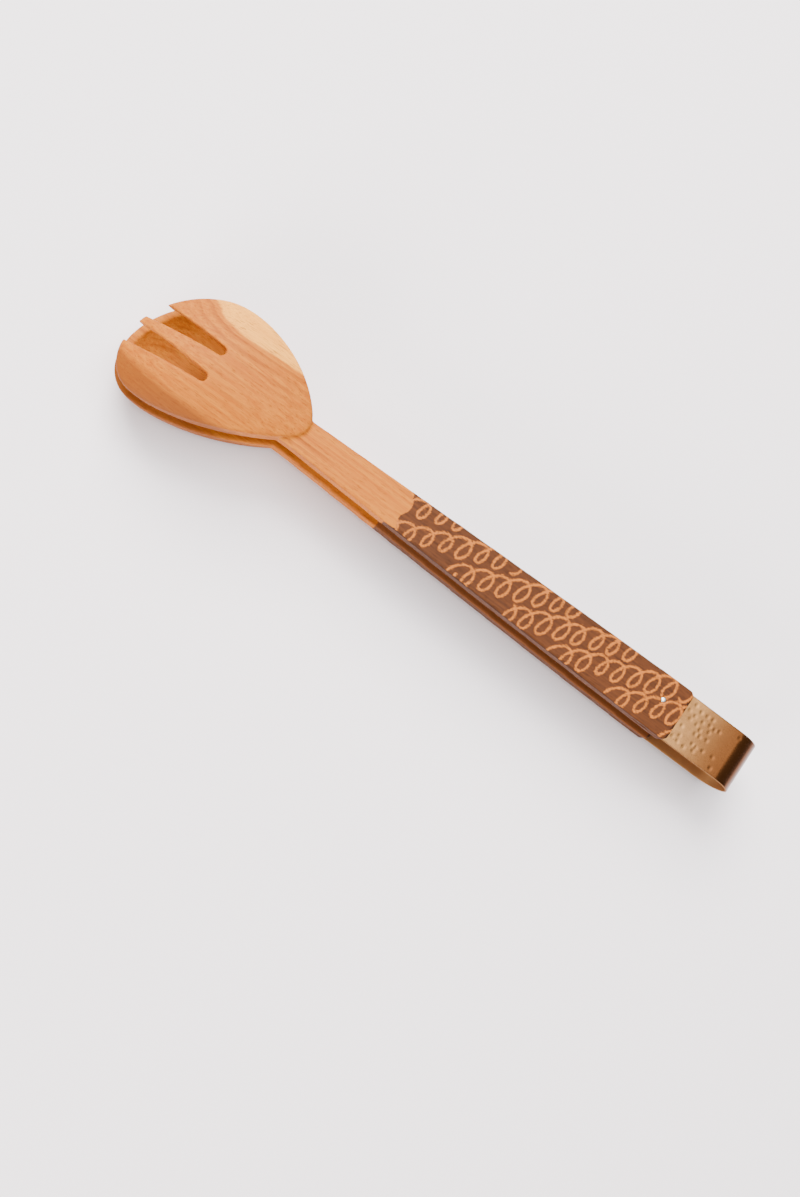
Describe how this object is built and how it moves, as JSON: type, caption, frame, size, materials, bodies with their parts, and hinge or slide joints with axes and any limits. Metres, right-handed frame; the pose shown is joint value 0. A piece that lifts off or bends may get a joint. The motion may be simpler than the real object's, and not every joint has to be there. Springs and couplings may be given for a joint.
{
  "type": "spring loaded kitchen tongs",
  "caption": "Wooden salad tongs: a fork arm and a spoon arm with dark-stained handles, joined by a bent brass spring strap.",
  "frame": {"origin": "middle of the bounding box in X and Y, at its lowest point, the back of the spoon", "axes": "+X along the arms from the heads to the bend of the strap, +Y across the arms, +Z from the spoon arm up to the fork arm"},
  "size_m": [0.304, 0.0552, 0.0385],
  "materials": {
    "fork_wood": "satin",
    "spoon_wood": "satin",
    "strap_brass": "hammered",
    "pin_metal": "satin"
  },
  "bodies": {
    "spoon_side": {"spoon_arm": "spoon_wood", "spoon_arm_pin": "pin_metal", "spring_strap": "strap_brass"},
    "fork_side": {"fork_arm": "fork_wood", "fork_arm_pin": "pin_metal"}
  },
  "joints": [
    {"name": "strap_bend", "type": "hinge", "parent": "spoon_side", "child": "fork_side", "pos_m": [0.14129, 0, 0.0199], "axis": [0, 1, 0], "range_deg": [-2.1, 11], "stiffness_Nm_per_rad": 1.2, "springref_deg": 9.74, "deforming": ["spring_strap"]}
  ]
}
